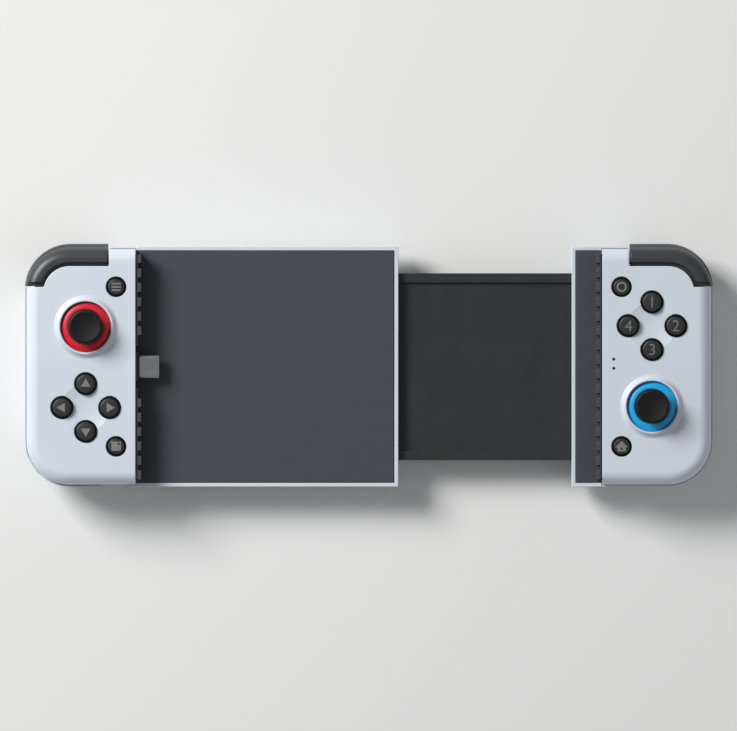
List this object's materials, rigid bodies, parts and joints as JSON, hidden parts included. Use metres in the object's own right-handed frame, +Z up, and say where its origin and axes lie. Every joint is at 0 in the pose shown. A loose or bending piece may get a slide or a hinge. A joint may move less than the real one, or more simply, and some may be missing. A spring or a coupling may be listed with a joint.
{
  "type": "mobile game controller",
  "caption": "Stretching handheld game controller: grips with thumb sticks, round buttons, bumpers and triggers clamp a phone on a telescopic tray with a tipping plug.",
  "frame": {"origin": "centre of the whole controller's footprint, on the table it lies on", "axes": "+X from the left grip to the right grip, +Y towards the shoulder buttons, +Z up out of the face"},
  "size_m": [0.2432, 0.0858, 0.032],
  "materials": {
    "white_shell": "satin white moulding",
    "tray_rubber": "matt dark grey pad",
    "slider_plastic": "fine moulded texture",
    "panel_plastic": "ribbed dark grey moulding",
    "bumper_plastic": "satin dark grey",
    "trigger_plastic": "satin dark grey",
    "key_plastic": "dark grey with printed marks",
    "stick_rubber": "matt black grip",
    "stick_plastic": "smooth black",
    "yoke_plastic": "natural moulding",
    "red_ring": "glossy red",
    "blue_ring": "glossy blue",
    "lens_plastic": "milky light pipe",
    "plated_steel": "plated sheet steel",
    "spring_steel": "bright steel",
    "screw_steel": "dark zinc",
    "board_laminate": "green solder mask",
    "mat_rubber": "translucent grey silicone",
    "flex_film": "amber film"
  },
  "bodies": {
    "left_half": {"left_front_cover": "white_shell", "left_rear_cover": "white_shell", "tray_base": "white_shell", "tray_cover": "white_shell", "tray_pad": "tray_rubber", "left_wall_panel": "panel_plastic", "plug_cradle": "panel_plastic", "charge_port": "plated_steel", "left_board": "board_laminate", "left_button_mat": "mat_rubber", "left_stick_ring": "red_ring", "left_stick_module": "plated_steel", "left_trigger_pin": "spring_steel", "left_trigger_spring": "spring_steel", "left_screws": "screw_steel", "tension_springs": "spring_steel", "flex_cable": "flex_film"},
    "right_half": {"right_front_cover": "white_shell", "right_rear_cover": "white_shell", "slider_plate": "slider_plastic", "right_tray_frame": "white_shell", "right_tray_pad": "tray_rubber", "right_wall_panel": "panel_plastic", "right_board": "board_laminate", "right_button_mat": "mat_rubber", "right_stick_ring": "blue_ring", "right_stick_module": "plated_steel", "right_trigger_pin": "spring_steel", "right_trigger_spring": "spring_steel", "indicator_lenses": "lens_plastic", "right_screws": "screw_steel"},
    "phone_plug": {"plug_drum": "panel_plastic", "plug_shell": "plated_steel"},
    "left_stick_carrier": {"left_stick_carrier": "stick_plastic"},
    "left_stick_yoke": {"left_stick_yoke": "yoke_plastic"},
    "left_stick": {"left_stick_shaft": "stick_plastic", "left_stick_cap": "stick_rubber"},
    "left_bumper": {"left_bumper": "bumper_plastic"},
    "left_trigger": {"left_trigger": "trigger_plastic"},
    "right_stick_carrier": {"right_stick_carrier": "stick_plastic"},
    "right_stick_yoke": {"right_stick_yoke": "yoke_plastic"},
    "right_stick": {"right_stick_shaft": "stick_plastic", "right_stick_cap": "stick_rubber"},
    "right_bumper": {"right_bumper": "bumper_plastic"},
    "right_trigger": {"right_trigger": "trigger_plastic"},
    "dpad_up": {"dpad_up": "key_plastic"},
    "dpad_down": {"dpad_down": "key_plastic"},
    "dpad_left": {"dpad_left": "key_plastic"},
    "dpad_right": {"dpad_right": "key_plastic"},
    "menu_button": {"menu_button": "key_plastic"},
    "capture_button": {"capture_button": "key_plastic"},
    "action_up": {"action_up": "key_plastic"},
    "action_down": {"action_down": "key_plastic"},
    "action_left": {"action_left": "key_plastic"},
    "action_right": {"action_right": "key_plastic"},
    "option_button": {"option_button": "key_plastic"},
    "home_button": {"home_button": "key_plastic"}
  },
  "joints": [
    {"name": "grip_slide", "type": "slide", "parent": "left_half", "child": "right_half", "axis": [1, 0, 0], "range_m": [-0.061, 0.012], "stiffness_N_per_m": 40, "springref_m": -0.095, "deforming": ["tension_springs", "flex_cable"]},
    {"name": "plug_tip", "type": "hinge", "parent": "left_half", "child": "phone_plug", "pos_m": [-0.0829, -0.00052, 0.019], "axis": [0, -1, 0], "range_deg": [0, 50], "stiffness_Nm_per_rad": 0.02, "springref_deg": -14.32},
    {"name": "left_stick_click", "type": "slide", "parent": "left_half", "child": "left_stick_carrier", "axis": [0, 0, 1], "range_m": [-0.0005, 0], "stiffness_N_per_m": 800, "springref_m": 0.001},
    {"name": "left_stick_tilt_y", "type": "hinge", "parent": "left_stick_carrier", "child": "left_stick_yoke", "pos_m": [-0.0997, 0.01348, 0.0145], "axis": [1, 0, 0], "range_deg": [-12, 12], "stiffness_Nm_per_rad": 0.02},
    {"name": "left_stick_tilt_x", "type": "hinge", "parent": "left_stick_yoke", "child": "left_stick", "pos_m": [-0.0997, 0.01348, 0.0145], "axis": [0, 1, 0], "range_deg": [-12, 12], "stiffness_Nm_per_rad": 0.02},
    {"name": "left_bumper_press", "type": "hinge", "parent": "left_half", "child": "left_bumper", "pos_m": [-0.1158, 0.02477, 0.0185], "axis": [0, 0, 1], "range_deg": [-1.8, 0], "stiffness_Nm_per_rad": 0.2, "springref_deg": 3.44},
    {"name": "left_trigger_pull", "type": "hinge", "parent": "left_half", "child": "left_trigger", "pos_m": [-0.1024, 0.03188, 0.0114], "axis": [1, 0, 0], "range_deg": [-10, 0], "stiffness_Nm_per_rad": 0.06, "springref_deg": 14.32},
    {"name": "right_stick_click", "type": "slide", "parent": "right_half", "child": "right_stick_carrier", "axis": [0, 0, 1], "range_m": [-0.0005, 0], "stiffness_N_per_m": 800, "springref_m": 0.001},
    {"name": "right_stick_tilt_y", "type": "hinge", "parent": "right_stick_carrier", "child": "right_stick_yoke", "pos_m": [0.0997, -0.01452, 0.0145], "axis": [1, 0, 0], "range_deg": [-12, 12], "stiffness_Nm_per_rad": 0.02},
    {"name": "right_stick_tilt_x", "type": "hinge", "parent": "right_stick_yoke", "child": "right_stick", "pos_m": [0.0997, -0.01452, 0.0145], "axis": [0, 1, 0], "range_deg": [-12, 12], "stiffness_Nm_per_rad": 0.02},
    {"name": "right_bumper_press", "type": "hinge", "parent": "right_half", "child": "right_bumper", "pos_m": [0.1158, 0.02477, 0.0185], "axis": [0, 0, 1], "range_deg": [0, 1.8], "stiffness_Nm_per_rad": 0.2, "springref_deg": -3.44},
    {"name": "right_trigger_pull", "type": "hinge", "parent": "right_half", "child": "right_trigger", "pos_m": [0.1024, 0.03188, 0.0114], "axis": [1, 0, 0], "range_deg": [-10, 0], "stiffness_Nm_per_rad": 0.06, "springref_deg": 14.32},
    {"name": "dpad_up_press", "type": "slide", "parent": "left_half", "child": "dpad_up", "axis": [0, 0, 1], "range_m": [-0.0008, 0], "stiffness_N_per_m": 150, "springref_m": 0.0015},
    {"name": "dpad_down_press", "type": "slide", "parent": "left_half", "child": "dpad_down", "axis": [0, 0, 1], "range_m": [-0.0008, 0], "stiffness_N_per_m": 150, "springref_m": 0.0015},
    {"name": "dpad_left_press", "type": "slide", "parent": "left_half", "child": "dpad_left", "axis": [0, 0, 1], "range_m": [-0.0008, 0], "stiffness_N_per_m": 150, "springref_m": 0.0015},
    {"name": "dpad_right_press", "type": "slide", "parent": "left_half", "child": "dpad_right", "axis": [0, 0, 1], "range_m": [-0.0008, 0], "stiffness_N_per_m": 150, "springref_m": 0.0015},
    {"name": "menu_button_press", "type": "slide", "parent": "left_half", "child": "menu_button", "axis": [0, 0, 1], "range_m": [-0.0008, 0], "stiffness_N_per_m": 150, "springref_m": 0.0015},
    {"name": "capture_button_press", "type": "slide", "parent": "left_half", "child": "capture_button", "axis": [0, 0, 1], "range_m": [-0.0008, 0], "stiffness_N_per_m": 150, "springref_m": 0.0015},
    {"name": "action_up_press", "type": "slide", "parent": "right_half", "child": "action_up", "axis": [0, 0, 1], "range_m": [-0.0008, 0], "stiffness_N_per_m": 150, "springref_m": 0.0015},
    {"name": "action_down_press", "type": "slide", "parent": "right_half", "child": "action_down", "axis": [0, 0, 1], "range_m": [-0.0008, 0], "stiffness_N_per_m": 150, "springref_m": 0.0015},
    {"name": "action_left_press", "type": "slide", "parent": "right_half", "child": "action_left", "axis": [0, 0, 1], "range_m": [-0.0008, 0], "stiffness_N_per_m": 150, "springref_m": 0.0015},
    {"name": "action_right_press", "type": "slide", "parent": "right_half", "child": "action_right", "axis": [0, 0, 1], "range_m": [-0.0008, 0], "stiffness_N_per_m": 150, "springref_m": 0.0015},
    {"name": "option_button_press", "type": "slide", "parent": "right_half", "child": "option_button", "axis": [0, 0, 1], "range_m": [-0.0008, 0], "stiffness_N_per_m": 150, "springref_m": 0.0015},
    {"name": "home_button_press", "type": "slide", "parent": "right_half", "child": "home_button", "axis": [0, 0, 1], "range_m": [-0.0008, 0], "stiffness_N_per_m": 150, "springref_m": 0.0015}
  ]
}
